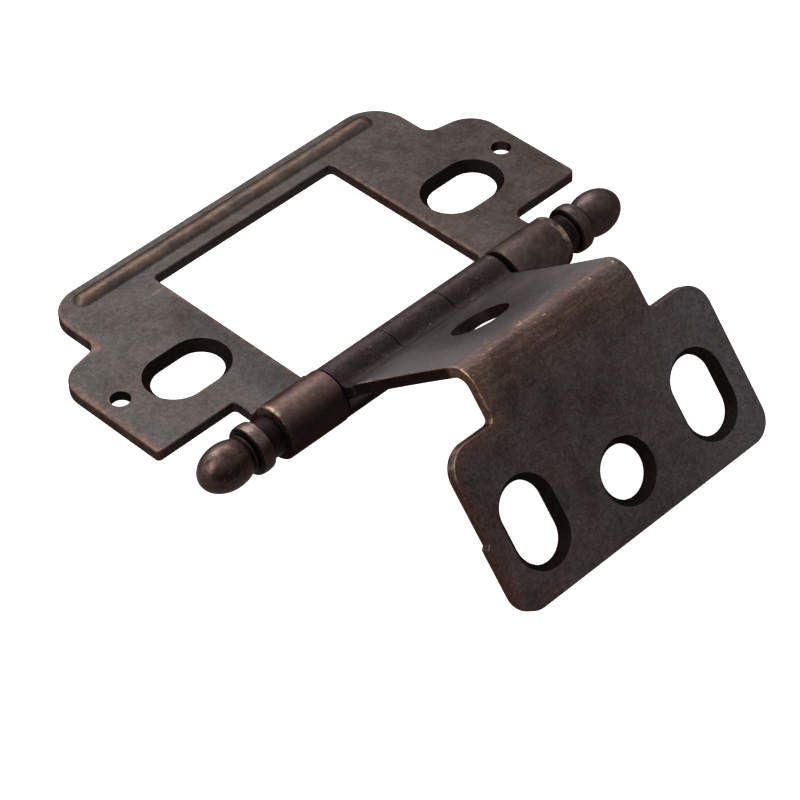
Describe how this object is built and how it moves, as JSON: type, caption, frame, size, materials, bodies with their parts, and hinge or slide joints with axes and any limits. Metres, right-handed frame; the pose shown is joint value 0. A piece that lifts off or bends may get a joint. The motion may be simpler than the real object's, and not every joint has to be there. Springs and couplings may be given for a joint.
{
  "type": "full inset hinge",
  "caption": "Full inset cabinet hinge: a flat windowed leaf, a bent wrap-around door leaf with a wide plate, and a rolled barrel between two turned tips.",
  "frame": {"origin": "midway between the frame leaf's two countersunk slots, on the face that meets the cabinet's frame", "axes": "+X along the barrel towards the far tip, +Y from the barrel towards the frame leaf's far edge, +Z out of the frame leaf's countersunk side"},
  "size_m": [0.0624, 0.0652, 0.0194],
  "materials": {
    "frame_leaf": "dark aged bronze plating over steel, copper where it is rubbed",
    "door_leaf": "dark aged bronze plating over steel, copper where it is rubbed",
    "hinge_pin": "dark aged bronze plating over steel, copper where it is rubbed",
    "far_tip": "dark aged bronze plating over steel, copper where it is rubbed",
    "near_tip": "dark aged bronze plating over steel, copper where it is rubbed"
  },
  "bodies": {
    "frame_side": {"frame_leaf": "frame_leaf", "hinge_pin": "hinge_pin", "far_tip": "far_tip", "near_tip": "near_tip"},
    "door_side": {"door_leaf": "door_leaf"}
  },
  "joints": [
    {"name": "door_swing", "type": "hinge", "parent": "frame_side", "child": "door_side", "pos_m": [0, -0.0133, 0.00063], "axis": [1, 0, 0], "range_deg": [-142.2, 37.8]}
  ]
}
